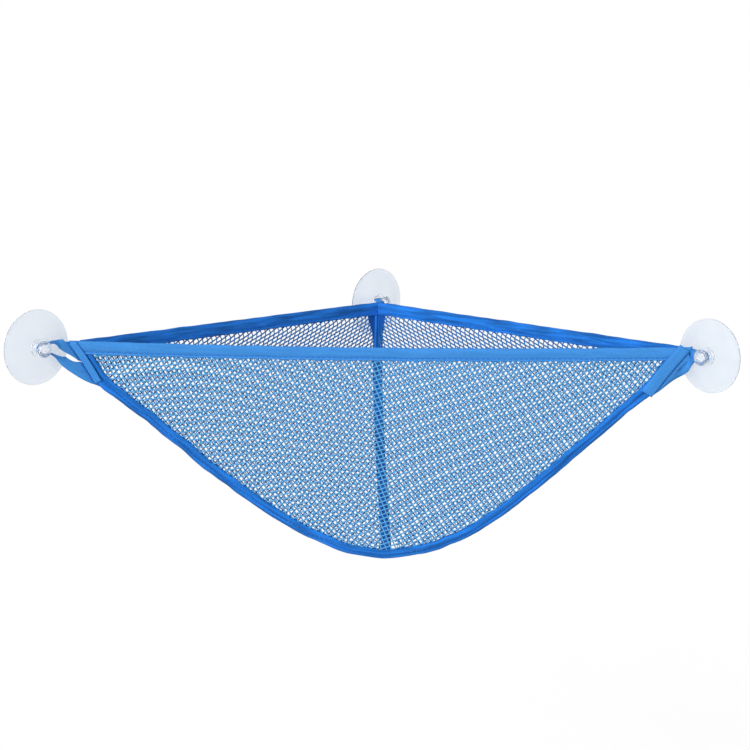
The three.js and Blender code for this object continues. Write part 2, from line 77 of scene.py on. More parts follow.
front_distance = back_rim_length * math.cos(back_corner_angle / 2)
bag_place = Matrix.Translation(left_wall_along * corner_reach + left_wall_out * wall_standoff)
bag_place = bag_place @ Matrix.Rotation(back_corner_angle / 2 - math.pi / 4, 4, "Z")
front_place = bag_place @ Matrix.Translation((0, -front_distance, 0))
front_place = front_place @ Matrix.Rotation(front_lean, 4, "X")
front_facing = front_place.to_3x3()

seam_allowance = 6 * mm
rim_top = 4.5 * mm
rim_sag = 3 * mm
right_tip_rise = 2 * mm
left_tip = 20 * mm
right_tip = 11 * mm
left_edge = -half_front - left_tip
right_edge = half_front + right_tip
left_corner = Vector((left_edge + 20 * mm, 0, -31 * mm))
right_corner = Vector((right_edge - 26 * mm, 0, -33 * mm))
left_top = Vector((left_edge, 0, rim_top))
right_top = Vector((right_edge, 0, rim_top + right_tip_rise))
bottom = Vector((4 * mm, 0, -175 * mm))
bottom_round = Vector((64 * mm, 0, 0))
left_slope = Vector((1, 0, -0.88))
right_slope = Vector((-1, 0, -1.03))
corner_round = 9 * mm
side_run = 85 * mm
turn_steps = 24
curve_steps = 60
seam_steps = 900


def bend(start, pull, finish):
    """A smooth turn from start to finish, drawn towards the point pull."""
    return geometry.interpolate_bezier(
        start, start.lerp(pull, 2 / 3), finish.lerp(pull, 2 / 3), finish, turn_steps)


def evenly(line, count):
    """The same line as points at equal steps."""
    points = np.array([tuple(p) for p in line])
    run = np.concatenate([[0], np.cumsum(np.linalg.norm(np.diff(points, axis=0), axis=1))])
    stops = np.linspace(0, run[-1], count + 1)
    columns = [np.interp(stops, run, points[:, k]) for k in range(3)]
    return [Vector(p) for p in np.column_stack(columns)]


def seam_edge():
    """Outer edge of the front panel's seam, left to right, in the panel's own plane."""
    on_left = left_corner.lerp(left_top, corner_round / (left_top - left_corner).z)
    on_right = right_corner.lerp(right_top, corner_round / (right_top - right_corner).z)
    left_start = left_corner + left_slope * corner_round
    right_end = right_corner + right_slope * corner_round
    reach = side_run - corner_round
    line = [left_top]
    line += bend(on_left, left_corner, left_start)
    line += geometry.interpolate_bezier(
        left_start, left_start + left_slope * reach, bottom - bottom_round, bottom,
        curve_steps)[1:]
    line += geometry.interpolate_bezier(
        bottom, bottom + bottom_round, right_end + right_slope * reach, right_end,
        curve_steps)[1:]
    line += bend(right_end, right_corner, on_right)[1:]
    return evenly(line + [right_top], seam_steps)


seam_line = seam_edge()
seam_step = (seam_line[1] - seam_line[0]).length
low_share = min(range(len(seam_line)), key=lambda i: seam_line[i].z) / seam_steps
direction_reach = 3


def on_seam(share, inset):
    """A point inset from the front seam's edge at a share of the way along, and the way inwards."""
    near = min(int(share * seam_steps), seam_steps - 1)
    before = seam_line[max(near - direction_reach, 0)]
    after = seam_line[min(near + 1 + direction_reach, seam_steps)]
    ahead = (after - before).normalized()
    inward = Vector((-ahead.z, 0, ahead.x))
    edge = seam_line[near].lerp(seam_line[near + 1], share * seam_steps - near)
    return edge + inward * inset, inward


net_pitch = 3.45 * mm
net_strand = 1.08 * mm
net_thickness = 0.6 * mm
net_inset = 1.9 * mm
cut_tolerance = 0.001 * mm


def square_net(region, turn, drawn):
    """Square net of single strands over a flat region, drawn out of true, and its sides."""
    hull = [region[i] for i in geometry.convex_hull_2d([p.xy for p in region])]
    sides = [(here, (there - here).cross(upward).normalized())
             for here, there in zip(hull, hull[1:] + hull[:1])]
    middle = sum(hull, Vector()) / len(hull)
    cells = math.ceil(2 * max((p - middle).length for p in hull) / net_pitch) + 2
    net = bmesh.new()
    bmesh.ops.create_grid(
        net, x_segments=cells, y_segments=cells, size=cells * net_pitch / 2,
        matrix=Matrix.Translation(middle) @ Matrix.Rotation(turn, 4, "Z"))
    for vert in net.verts:
        vert.co = drawn(vert.co)
    spare = [f for f in net.faces if any(
        (f.calc_center_median() - place).dot(out) > net_pitch for place, out in sides)]
    bmesh.ops.delete(net, geom=spare, context="FACES")
    bmesh.ops.wireframe(
        net, faces=net.faces[:], thickness=net_strand, use_replace=True, use_boundary=True,
        use_even_offset=True)
    bmesh.ops.scale(net, vec=(1, 1, net_thickness / net_strand), verts=net.verts)
    return net, sides


def cut_off(work, sides):
    """Cuts away what stands outside each of some planes, and leaves the cut threads open."""
    for place, out in sides:
        everything = work.verts[:] + work.edges[:] + work.faces[:]
        bmesh.ops.bisect_plane(
            work, geom=everything, dist=cut_tolerance, plane_co=place, plane_no=out,
            clear_outer=True)


def linear(colour):
    """An sRGB hex colour as the linear values that a shader takes."""
    parts = [int(colour[i:i + 2], 16) / 255 for i in (1, 3, 5)]
    return [*(p / 12.92 if p <= 0.04045 else ((p + 0.055) / 1.055) ** 2.4 for p in parts), 1]


def add_node(tree, kind, values=None, links=None, **settings):
    """One node with its settings, the values of its sockets, and what feeds them."""
    made = tree.nodes.new(kind)
    for name, value in settings.items():
        setattr(made, name, value)
    for socket, value in (values or {}).items():
        made.inputs[socket].default_value = value
    for socket, source in (links or {}).items():
        tree.links.new(source, made.inputs[socket])
    return made


def new_material(name):
    """An empty node material, with its tree."""
    material = bpy.data.materials.new(name)
    material.use_nodes = True
    material.node_tree.nodes.clear()
    return material, material.node_tree


def cut_area(outline):
    """Area of a flat cut, from its outline."""
    corners = zip(outline, outline[1:] + outline[:1])
    return abs(sum(a.x * b.y - b.x * a.y for a, b in corners)) / 2


def make_piece(name, mesh_work, material):
    """A finished object at the origin from a bmesh, smooth-shaded."""
    mesh = bpy.data.meshes.new(name)
    for face in mesh_work.faces:
        face.smooth = True
    mesh_work.to_mesh(mesh)
    mesh_work.free()
    mesh.materials.append(material)
    piece = bpy.data.objects.new(name, mesh)
    bpy.context.scene.collection.objects.link(piece)
    return piece


# Knitted polyester net: soft filament threads, matt. The fibre's mottling is 1.5 mm wide, coarser
# than the real filaments, so that it shows. Where the net is drawn in, a deeper blue is painted on
# as the shade that falls among its gathered threads.
def knitted_polyester(name, dark, light, faded_to, gathered_shade):
    material, tree = new_material(name)
    fibre_width = 1.5 * mm
    fade_width = 60 * mm
    fuzz_depth = 0.1 * mm
    spot = add_node(tree, "ShaderNodeTexCoord").outputs["Object"]
    fibre = add_node(
        tree, "ShaderNodeTexNoise", {"Scale": 1 / fibre_width, "Detail": 3, "Roughness": 0.6},
        {"Vector": spot})
    fade = add_node(
        tree, "ShaderNodeTexNoise", {"Scale": 1 / fade_width, "Detail": 2}, {"Vector": spot})
    yarn = add_node(
        tree, "ShaderNodeMix", {"A": linear(dark), "B": linear(light)},
        {"Factor": fibre.outputs["Fac"]}, data_type="RGBA")
    faded = add_node(
        tree, "ShaderNodeMix", {"B": linear(faded_to)},
        {"Factor": fade.outputs["Fac"], "A": yarn.outputs["Result"]}, data_type="RGBA")
    # Painted shade: this layer deepens the net's blue where the net is drawn in.
    gathered_shade_mask = add_node(tree, "ShaderNodeAttribute", attribute_name="gathered_shade")
    colour = add_node(
        tree, "ShaderNodeMix", {"B": linear(gathered_shade)},
        {"Factor": gathered_shade_mask.outputs["Fac"], "A": faded.outputs["Result"]}, data_type="RGBA")
    fuzz = add_node(
        tree, "ShaderNodeBump", {"Strength": 0.4, "Distance": fuzz_depth},
        {"Height": fibre.outputs["Fac"]})
    cloth = add_node(
        tree, "ShaderNodeBsdfPrincipled", {"Roughness": 0.8, "Specular IOR Level": 0.15},
        {"Base Color": colour.outputs["Result"], "Normal": fuzz.outputs["Normal"]})
    add_node(tree, "ShaderNodeOutputMaterial", links={"Surface": cloth.outputs["BSDF"]})
    return material


net_material = knitted_polyester(
    "knitted_polyester_net", "#4290CC", "#78BEF0", "#5EAAE2", "#1C5CB4")
front_net_turn = math.radians(21.5)
outline_steps = 40
seam_net_inset = 5.6 * mm
net_end_inset = 9 * mm
net_top_gap = 1 * mm
thread_sag = 0.8
ripple_depth = 1.2 * mm
ripple_length = 45 * mm
ripple_start = 12 * mm
ripple_full = 60 * mm


def front_net():
    """The front panel's net, with a slight ripple across it."""
    region = [on_seam(i / outline_steps, seam_net_inset)[0] for i in range(outline_steps + 1)]
    net_top = rim_top - rim_sag - net_inset
    region = [Vector((p.x, p.z, 0)) for p in region if p.z < net_top - net_top_gap]
    region += [Vector((right_edge - net_end_inset, net_top, 0)),
               Vector((left_edge + net_end_inset, net_top, 0))]

    def hung(point):
        off_middle = point.x - bottom.x
        return Vector((point.x, point.y + thread_sag * off_middle ** 2, 0))

    net, sides = square_net(region, front_net_turn, hung)
    cut_off(net, sides)
    for vert in net.verts:
        x, z, through = vert.co
        inside = min(1, max(0, -z - ripple_start) / ripple_full)
        ripple = ripple_depth * inside * noise.noise(Vector((x, z, 0)) / ripple_length)
        vert.co = front_place @ Vector((x, ripple - through, z))
    cloth = make_piece("front_net_cloth", net, net_material)
    cut_area(region)
    return cloth


front_cloth = front_net()
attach(front_cloth, "net_bag")
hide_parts("front_net")

# Back nets: two panels of the same net on the bias, one along each wall, from the front seam to the
# seam in the back corner. Each lies in straight lines between those seams, and they meet under the
# bag's lowest point. Their blue is a shade deeper than the front panel's, as painted shade.
back_seam_fall = 88 * mm
back_seam_in = 12 * mm
back_seam_straight = 39 * mm
back_seam_steps = 400
bottom_gather = 5 * mm
cheek = 1.6 * mm
net_bias = {"left": math.radians(61), "right": math.radians(60)}
# Painted shade: the front net's cloth in a deeper blue, for the shaded inside of the bag.
shaded_back_net_material = knitted_polyester(
    "knitted_polyester_back_net_painted_shade", "#2868A8", "#4E92D0", "#3A7EC0", "#1C5CB4")


def back_seam_line():
    """The seam in the back corner, from the rims down to the bag's lowest point."""
    top = Vector((0, 0, rim_top))
    turn = Vector((0, -back_seam_in, rim_top - back_seam_fall))
    low = bag_place.inverted() @ front_place @ on_seam(low_share, seam_allowance)[0]
    straight = top.lerp(turn, back_seam_straight / back_seam_fall)
    return evenly([bag_place @ p for p in [top, *bend(straight, turn, low)]], back_seam_steps)


back_line = back_seam_line()
half_seam = seam_step * seam_steps * low_share


def panel_row(side, fall):
    """Where one straight line of a back panel starts on the front seam and ends on the back."""
    top, corner = (left_top, left_corner) if side == "left" else (right_top, right_corner)
    level_with_rim = seam_allowance * abs(top.x - corner.x) / (top.z - corner.z)
    front_fall = fall + level_with_rim / half_seam * (1 - fall)
    share = low_share * front_fall if side == "left" else 1 - (1 - low_share) * front_fall
    front = front_place @ on_seam(min(max(share, 0), 1), seam_allowance)[0]
    place = min(max(fall, 0), 1) * back_seam_steps
    near = min(int(place), back_seam_steps - 1)
    return front, back_line[near].lerp(back_line[near + 1], place - near)


front_through = (front_facing @ Vector((0, 1, 0))).normalized()
front_cheek = front_place.translation + front_through * cheek
direction_fall = 0.01


def slide(point, run, place, facing):
    """Moves a point along a run until it lies in a plane."""
    return point + run * ((place - point).dot(facing) / run.dot(facing))


def back_seam_frame(fall):
    """Frame of the back seam's binding part way down: outer edge, fin, through and ahead."""
    front, back = panel_row("left", fall)
    above = panel_row("left", fall - direction_fall)[1]
    below = panel_row("left", fall + direction_fall)[1]
    ahead = (below - above).normalized()
    fin = (back - front).normalized()
    through = ahead.cross(fin).normalized()
    return back, fin, through, ahead


def panel_ends(side, fall):
    """Start and end of a back panel's cloth on one line: front binding's cheek to back binding."""
    front, back = panel_row(side, fall)
    run = (back - front).normalized()
    start = slide(front, run, front_cheek, front_through)
    if side == "left":
        return start, back + run * (seam_allowance - net_inset), run
    _, _, through, _ = back_seam_frame(fall)
    return start, slide(back, run, back + through * cheek, through), run


def on_panel(ends, across, down):
    """Points of a back panel and the ways across and down it, carried on past its edges."""
    starts, finishes = ends
    place = down * (len(starts) - 1)
    row = np.clip(place.astype(int), 0, len(starts) - 2)
    share = (place - row)[:, None]
    start_fall = starts[row + 1] - starts[row]
    finish_fall = finishes[row + 1] - finishes[row]
    start = starts[row] + start_fall * share
    finish = finishes[row] + finish_fall * share
    across = across[:, None]
    fall = start_fall * (1 - across) + finish_fall * across
    return start + (finish - start) * across, finish - start, fall


def smooth_step(share, start, end):
    """Eases from 0 at start to 1 at end."""
    t = min(max((share - start) / (end - start), 0), 1)
    return t * t * (3 - 2 * t)


panel_rows = 160
rows_per_corner = 8
shortest_row = 0.3 * mm
seam_mouth = {"left": 7.6 * mm, "right": 0}
gather_reach = 30 * mm
gather_top = 10 * mm
gather_fall = 22 * mm
gather_squeeze = 0.26
gather_spread = 8
gather_fade = 1 * mm
lay_columns = 40
lay_rows = 80
lay_past = 0.03
far_behind = 200 * mm


def back_net(side):
    """One back panel's net: knitted flat, drawn in at the back seam's top, laid on the panel."""
    first = net_inset / half_seam
    final = 1 - bottom_gather / half_seam
    falls = [first + (final - first) * i / panel_rows for i in range(panel_rows + 1)]
    found = [panel_ends(side, fall) for fall in falls]
    found = [e for e in found if (e[1] - e[0]).dot(e[2]) > shortest_row]
    ends = np.array([e[0] for e in found]), np.array([e[1] for e in found])
    top_start, top_end, _ = found[0]
    along = (top_end - top_start).normalized()
    through = along.cross(found[-1][0] - (top_start + top_end) / 2).normalized()
    lie = Matrix((along, through.cross(along), through)).transposed().to_4x4()
    lie = Matrix.Translation(top_start) @ lie
    flat = lie.inverted()
    region = [flat @ p for e in [*found[::rows_per_corner], found[-1]] for p in e[:2]]
    region = [Vector((p.x, p.y, 0)) for p in region]
    gather_edge = (top_end - top_start).length - seam_mouth[side]

    def reach_at(height):
        return gather_reach * (1 - max(0, abs(height) - gather_top) / gather_fall)

    def gathered(point):
        reach = reach_at(point.y)
        off = gather_edge - point.x
        if not 0 < off < gather_spread * reach:
            return point
        tight = gather_squeeze * min(off, reach)
        loose = max(0, off - reach) * (gather_spread - gather_squeeze) / (gather_spread - 1)
        return Vector((gather_edge - tight - loose, point.y, 0))

    net, _ = square_net(region, net_bias[side], gathered)
    sheet = bmesh.new()
    bmesh.ops.create_grid(
        sheet, x_segments=lay_columns, y_segments=lay_rows, size=0.5 + lay_past)
    sheet.verts.index_update()
    lay = [(v.co.x + 0.5, v.co.y + 0.5) for v in sheet.verts]
    spots = on_panel(ends, *np.array(lay).T)[0]
    corners = [[v.index for v in f.verts[:3]] for f in sheet.faces]
    for vert, spot in zip(sheet.verts, spots):
        vert.co = spot
    curved = BVHTree.FromBMesh(sheet)
    sheet.free()
    # Painted shade: 1 where the net is drawn in past the gather's edge, 0 elsewhere, eased between.
    gathered_shade = net.verts.layers.float.new("gathered_shade")
    for vert in net.verts:
        x, y, depth = vert.co
        past_gather = gather_squeeze * reach_at(y) - gather_edge + x
        vert[gathered_shade] = smooth_step(past_gather, -gather_fade, gather_fade)
        spot, _, face, _ = curved.ray_cast(lie @ Vector((x, y, -far_behind)), through)
        if spot is None:
            spot, _, face, _ = curved.find_nearest(lie @ Vector((x, y, 0)))
        share = geometry.barycentric_transform(
            spot, *(Vector(spots[k]) for k in corners[face]),
            *(Vector((*lay[k], 0)) for k in corners[face]))
        vert.co = (share.x, share.y, depth)
    to_end, to_foot = Vector((1, 0, 0)), Vector((0, 1, 0))
    cut_off(net, [(Vector(), -to_end), (to_end, to_end), (Vector(), -to_foot), (to_foot, to_foot)])
    shares = np.array([v.co for v in net.verts])
    spots, across, fall = on_panel(ends, shares[:, 0], shares[:, 1])
    facing = np.cross(across, fall)
    facing /= np.linalg.norm(facing, axis=1)[:, None]
    spots += facing * shares[:, 2:]
    for vert, spot in zip(net.verts, spots):
        vert.co = spot
    bmesh.ops.recalc_face_normals(net, faces=net.faces)
    cloth = make_piece(f"back_{side}_net_cloth", net, shaded_back_net_material)
    outline = [flat @ p for p in [e[0] for e in found] + [e[1] for e in reversed(found)]]
    cut_area(outline)
    return cloth


for side in ("left", "right"):
    back_cloth = back_net(side)
    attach(back_cloth, "net_bag")
    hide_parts(f"back_{side}_net")

# Front seam tape: woven polyester binding folded over the front panel's raw edge, with the back
# panels' edges caught in the same seam. One line of lockstitch down its middle draws it into two
# soft rolls, which lie flat only near the tape's ends.
tape_half = 1.3 * mm
tape_slot = 0.55 * mm
fold_round = 1.7 * mm
slot_wide_from = 1.2 * fold_round
slot_foot = 0.9 * mm
slot_foot_half = 0.3 * mm
cheek_shares = (0.03, 0.09, 0.17, 0.27, 0.38, 0.46, 0.53, 0.6, 0.67, 0.74, 0.8, 0.86, 0.92, 0.97, 1)
crease_spread = 0.8 * mm
free_edge_from = 0.9
free_edge_thinning = 0.25 * mm
trim_reach = 45 * mm


def binding_ring(width, crease, pinch, swell, roll):
    """Section of a folded binding: depth from the fold, and height each side of its slot."""
    cheeks = []
    for share in cheek_shares:
        depth = share * width
        rounding = math.sqrt(1 - max(0, 1 - depth / fold_round) ** 2)
        dip = pinch * math.exp(-((depth - crease) / crease_spread) ** 2)
        in_roll = depth / crease if depth < crease else (depth - crease) / (width - crease)
        thinning = free_edge_thinning * max(0, share - free_edge_from) / (1 - free_edge_from)
        height = tape_half * rounding + swell * math.sin(math.pi * in_roll) ** 2 - dip - thinning
        cheeks.append((depth, height))
    slot = [(width, tape_slot), (slot_wide_from, tape_slot), (slot_foot, slot_foot_half)]
    outside = [(d, -s) for d, s in reversed(cheeks)] + [(0, 0)] + cheeks
    inside = slot + [(d, -s) for d, s in reversed(slot)]
    return [Vector((-d, s + roll * max(0, crease - d), 0)) for d, s in outside + inside]


def stand(point, fin, through):
    """A frame for one station: X along the fin, Y through the cloth."""
    turned = Matrix((fin, through, fin.cross(through))).transposed().to_4x4()
    return Matrix.Translation(point) @ turned


def run_length(points):
    """Length of a line through some points."""
    return sum((there - here).length for here, there in zip(points, points[1:]))


def sweep(stations, ring_at):
    """Carries a closed ring along stations, closes the ends, and marks the way along and across."""
    work = bmesh.new()
    along = work.verts.layers.float.new("along")
    across = work.verts.layers.float.new("across")
    order = work.verts.layers.int.new("order")
    ring = ring_at(0)
    verts = [work.verts.new(stations[0] @ p) for p in ring]
    edges = [work.edges.new(pair) for pair in zip(verts, verts[1:] + verts[:1])]
    girth = 0
    for i, vert in enumerate(verts):
        vert[order] = i
        vert[across] = girth
        girth += (ring[(i + 1) % len(ring)] - ring[i]).length
    travelled = 0
    for number, (before, after) in enumerate(zip(stations, stations[1:]), 1):
        grown = bmesh.ops.extrude_edge_only(work, edges=edges)["geom"]
        verts = {g for g in grown if isinstance(g, bmesh.types.BMVert)}
        edges = [g for g in grown
                 if isinstance(g, bmesh.types.BMEdge) and verts.issuperset(g.verts)]
        travelled += (after.translation - before.translation).length
        ring = ring_at(number)
        for vert in verts:
            vert.co = after @ ring[vert[order]]
            vert[along] = travelled
    bmesh.ops.holes_fill(work, edges=[e for e in work.edges if e.is_boundary])
    bmesh.ops.recalc_face_normals(work, faces=work.faces)
    return work


def trim(work, place, outward):
    """Cuts away what stands outside a plane near one end, and closes the cut."""
    verts = [v for v in work.verts if (v.co - place).length < trim_reach]
    edges = {e for v in verts for e in v.link_edges}
    everything = verts + list(edges) + list({f for v in verts for f in v.link_faces})
    cut = bmesh.ops.bisect_plane(
        work, geom=everything, dist=cut_tolerance, plane_co=place, plane_no=outward,
        clear_outer=True)
    rim = [g for g in cut["geom_cut"] if isinstance(g, bmesh.types.BMEdge)]
    bmesh.ops.edgeloop_fill(work, edges=rim)
    bmesh.ops.recalc_face_normals(work, faces=work.faces)


# Woven polyester tape: plain weave cut on the bias, matt. The real threads are 0.4 mm apart, too
# fine to show, so the weave is drawn at 1.1 mm. Where a seam draws the tape in, lengthwise streaks
# of painted shade and light stand for the shading of its creases.
def woven_polyester(name, dark, light, faded_to, crease_shade_strength):
    material, tree = new_material(name)
    thread = 1.1 * mm
    wave_unit = math.pi / 10
    mottle_width = 2.2 * mm
    cloud_width = 35 * mm
    streak_length = 30 * mm
    streak_width = 2.6 * mm
    grain_depth = 0.15 * mm
    along = add_node(tree, "ShaderNodeAttribute", attribute_name="along")
    across = add_node(tree, "ShaderNodeAttribute", attribute_name="across")
    strip = add_node(
        tree, "ShaderNodeCombineXYZ",
        links={"X": along.outputs["Fac"], "Y": across.outputs["Fac"]}).outputs["Vector"]
    lay = add_node(
        tree, "ShaderNodeMapping", {"Rotation": (0, 0, math.pi / 4)}, {"Vector": strip})
    weft, warp = (add_node(
        tree, "ShaderNodeTexWave",
        {"Scale": wave_unit / thread, "Distortion": 0.6, "Detail": 1, "Detail Scale": 2},
        {"Vector": lay.outputs["Vector"]}, bands_direction=way) for way in ("X", "Y"))
    weave = add_node(
        tree, "ShaderNodeMath", links={0: weft.outputs["Fac"], 1: warp.outputs["Fac"]},
        operation="MULTIPLY")
    spot = add_node(tree, "ShaderNodeTexCoord").outputs["Object"]
    mottle = add_node(
        tree, "ShaderNodeTexNoise", {"Scale": 1 / mottle_width, "Detail": 4, "Roughness": 0.65},
        {"Vector": spot})
    cloud = add_node(
        tree, "ShaderNodeTexNoise", {"Scale": 1 / cloud_width, "Detail": 2}, {"Vector": spot})
    thread_colour = add_node(
        tree, "ShaderNodeMix", {"A": linear(dark), "B": linear(light)},
        {"Factor": mottle.outputs["Fac"]}, data_type="RGBA")
    faded = add_node(
        tree, "ShaderNodeMix", {"B": linear(faded_to)},
        {"Factor": cloud.outputs["Fac"], "A": thread_colour.outputs["Result"]}, data_type="RGBA")
    shadow = add_node(
        tree, "ShaderNodeMapRange", {"To Min": 0.68, "To Max": 1.3},
        {"Value": weave.outputs["Value"]})
    drawn_out = add_node(
        tree, "ShaderNodeMapping", {"Scale": (1 / streak_length, 1 / streak_width, 1)},
        {"Vector": strip})
    # Painted shade and light: lengthwise streaks darken and lighten the tape as its creases would.
    crease_shade_streaks = add_node(
        tree, "ShaderNodeTexNoise", {"Scale": 1, "Detail": 2, "Distortion": 0.4},
        {"Vector": drawn_out.outputs["Vector"]})
    crease_shade = add_node(
        tree, "ShaderNodeMapRange",
        {"From Min": 0.3, "From Max": 0.7, "To Min": 1 - crease_shade_strength, "To Max": 1 + crease_shade_strength},
        {"Value": crease_shade_streaks.outputs["Fac"]})
    shade = add_node(
        tree, "ShaderNodeMath",
        links={0: shadow.outputs["Result"], 1: crease_shade.outputs["Result"]},
        operation="MULTIPLY")
    colour = add_node(
        tree, "ShaderNodeVectorMath",
        links={0: faded.outputs["Result"], 1: shade.outputs["Value"]}, operation="MULTIPLY")
    grain = add_node(
        tree, "ShaderNodeBump", {"Strength": 0.5, "Distance": grain_depth},
        {"Height": weave.outputs["Value"]})
    cloth = add_node(
        tree, "ShaderNodeBsdfPrincipled",
        {"Roughness": 0.8, "Sheen Weight": 0.03, "Specular IOR Level": 0.14},
        {"Base Color": colour.outputs["Vector"], "Normal": grain.outputs["Normal"]})
    add_node(tree, "ShaderNodeOutputMaterial", links={"Surface": cloth.outputs["BSDF"]})
    return material


# Painted shade: the rim's tape in a deeper blue, for the seam tapes turned down from the light and
# the back rims' shaded inner faces.
shaded_tape_material = woven_polyester(
    "woven_polyester_tape_painted_shade", "#1264C8", "#3690EE", "#207CDE", crease_shade_strength=0.4)


# Sewing thread: spun polyester in the tape's blue, matt, a shade deeper as painted crease shade.
def spun_thread():
    material, tree = new_material("spun_polyester_thread")
    cloth = add_node(
        tree, "ShaderNodeBsdfPrincipled",
        {"Base Color": linear("#1560C0"), "Roughness": 0.7, "Specular IOR Level": 0.1})
    add_node(tree, "ShaderNodeOutputMaterial", links={"Surface": cloth.outputs["BSDF"]})
    return material


thread_material = spun_thread()
thread_half = Vector((0.26, 0.2, 1.55)) * mm
stitch_length = 4 * mm
steps_per_stitch = 4
pinch_depth = 0.4 * mm
pinch_beat = 0.3 * mm
swell_height = 0.35 * mm
swell_drift = 0.25 * mm
swell_run = 14
roll_start = 40
roll_full = 75


def drift(step, run, row):
    """A smooth wander between -1 and 1 over a run of steps, the same each time on one row."""
    return noise.noise(Vector((step / run, row, 0)))


def binding(name, material, stations, width, crease, relief, roll, cuts):
    """A folded binding, puckered at each stitch and trimmed at its ends, with its stitches."""
    last = len(stations) - 1

    def ring_at(number):
        beat = 0.5 + 0.5 * math.cos(2 * math.pi * number / steps_per_stitch)
        slow = drift(number, swell_run, row=width / mm)
        off_ends = smooth_step(min(number, last - number), roll_start, roll_full)
        pinch = relief * (pinch_depth + pinch_beat * beat)
        swell = relief * (swell_height + swell_drift * slow)
        return binding_ring(width, crease, pinch, swell, roll * off_ends)

    work = sweep(stations, ring_at)
    for place, outward in cuts:
        trim(work, place, outward)
    tape = make_piece(f"{name}_binding", work, material)
    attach(tape, "net_bag")
    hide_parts(f"{name}_tape")
    stitch_height = tape_half - relief * pinch_depth
    sewing = bmesh.new()
    for number in range(steps_per_stitch // 2, last, steps_per_stitch):
        here = stations[number]
        off_cuts = [(here.translation - place, outward) for place, outward in cuts]
        if any(off.length < trim_reach and off.dot(outward) >= -width for off, outward in off_cuts):
            continue
        for side in (-1, 1):
            at = Matrix.Translation((-crease, side * stitch_height, 0))
            at = here @ at @ Matrix.Diagonal((*thread_half, 1))
            bmesh.ops.create_uvsphere(sewing, u_segments=6, v_segments=4, radius=1, matrix=at)
    stitches = make_piece(f"{name}_stitches", sewing, thread_material)
    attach(stitches, "net_bag")


seam_tape_width = 9.5 * mm
seam_crease = 5 * mm
seam_relief = 1.7
seam_roll = 0.6
seam_wander = 1.5 * mm
seam_wander_run = 26
seam_shiver = 0.4 * mm
seam_shiver_run = 9


def seam_stations():
    """Stations of the front seam's binding, left to right."""
    count = steps_per_stitch * round(seam_step * seam_steps / stitch_length)
    stations = []
    for i in range(count + 1):
        edge, inward = on_seam(i / count, 0)
        wander = seam_wander * drift(i, seam_wander_run, row=3)
        wander += seam_shiver * drift(i, seam_shiver_run, row=5)
        fin = front_facing @ -inward
        stations.append(stand(front_place @ (edge + inward * wander), fin, front_through))
    return stations


clearance = 0.3 * mm
rim_width = 10.2 * mm
rim_slope_run = 20 * mm


def rim_height(x):
    """Height of the front rim, which sags a little between the corners."""
    share = (2 * x - left_edge - right_edge) / (right_edge - left_edge)
    return rim_top + right_tip_rise * (1 + share) / 2 - rim_sag * (1 - share * share)


def under_rim(x, side):
    """Plane just under the front rim's lower edge, at one end."""
    near, far = (Vector((at, 0, rim_height(at))) for at in (x, x + side * rim_slope_run))
    rise = front_facing @ ((far - near).cross(Vector((0, 1, 0))) * side).normalized()
    return front_place @ near - rise * (rim_width + clearance), rise


binding(
    "front_seam", shaded_tape_material, seam_stations(), seam_tape_width, seam_crease,
    seam_relief, seam_roll, cuts=[under_rim(left_edge, 1), under_rim(right_edge, -1)])

# Rim tapes: the same binding folded over the top edge of each panel and stitched near its lower
# edge. The front one, in the tape's lit blue, lies over the seam tape's ends. The back ones carry
# the seam tape's deeper blue, which is painted shade, and run from the front corners to the back
# corner.
rim_tape_material = woven_polyester(
    "woven_polyester_rim_tape", "#3480DA", "#5AB0FA", "#4499EE", crease_shade_strength=0.08)
rim_crease = 8.2 * mm
rim_wander = 0.45 * mm
rim_wander_run = 16
rim_spare_steps = 2
front_up = (front_facing @ upward).normalized()


def front_rim_stations():
    """Stations of the front rim, from just past one corner to just past the other."""
    count = steps_per_stitch * round((right_edge - left_edge) / stitch_length)
    stations = []
    for i in range(-rim_spare_steps, count + rim_spare_steps + 1):
        x = left_edge + (right_edge - left_edge) * i / count
        wander = rim_wander * drift(i, rim_wander_run, row=7)
        edge = front_place @ Vector((x, 0, rim_height(x) + wander))
        stations.append(stand(edge, front_up, front_through))
    return stations


def facing_out(top, corner):
    """Outward normal of the front panel's short edge."""
    fall = corner - top
    outward = Vector((-fall.z, 0, fall.x)) * math.copysign(1, top.x)
    return front_facing @ outward.normalized()


binding(
    "front_rim", rim_tape_material, front_rim_stations(), rim_width, rim_crease,
    relief=1, roll=0,
    cuts=[(front_place @ left_top, facing_out(left_top, left_corner)),
          (front_place @ right_top, facing_out(right_top, right_corner))])

rim_fall = net_inset / half_seam
lower_fall = 0.08
spare_steps_at_front = 4
spare_steps_at_back = 8


def back_rim_stations(side):
    """Stations of a back rim, along the top line of its panel."""
    start, end, run = panel_ends(side, rim_fall)
    lower_start, lower_end, _ = panel_ends(side, rim_fall + lower_fall)
    count = steps_per_stitch * round((end - start).length / stitch_length)
    stations = []
    for i in range(-spare_steps_at_front, count + spare_steps_at_back + 1):
        share = i / count
        down = lower_start.lerp(lower_end, share) - start.lerp(end, share)
        through = down.cross(run).normalized()
        rise = run.cross(through)
        if rise.z < 0:
            rise.negate()
        wander = rim_wander * drift(i, rim_wander_run, row=len(side))
        edge = start.lerp(end, share) + rise * (net_inset + wander)
        stations.append(stand(edge, rise, through))
    return stations


top_back, top_fin, top_through, top_ahead = back_seam_frame(rim_fall)
back_edge_out = top_through.cross(top_ahead)
back_cuts = {
    "left": (top_back + top_fin * seam_allowance, back_edge_out),
    "right": (top_back + top_through * cheek, -top_through),
}
for side in ("left", "right"):
    front_cut = panel_ends(side, rim_fall)[0], -front_through
    binding(
        f"back_{side}_rim", shaded_tape_material, back_rim_stations(side),
        rim_width, rim_crease, relief=1, roll=0, cuts=[front_cut, back_cuts[side]])

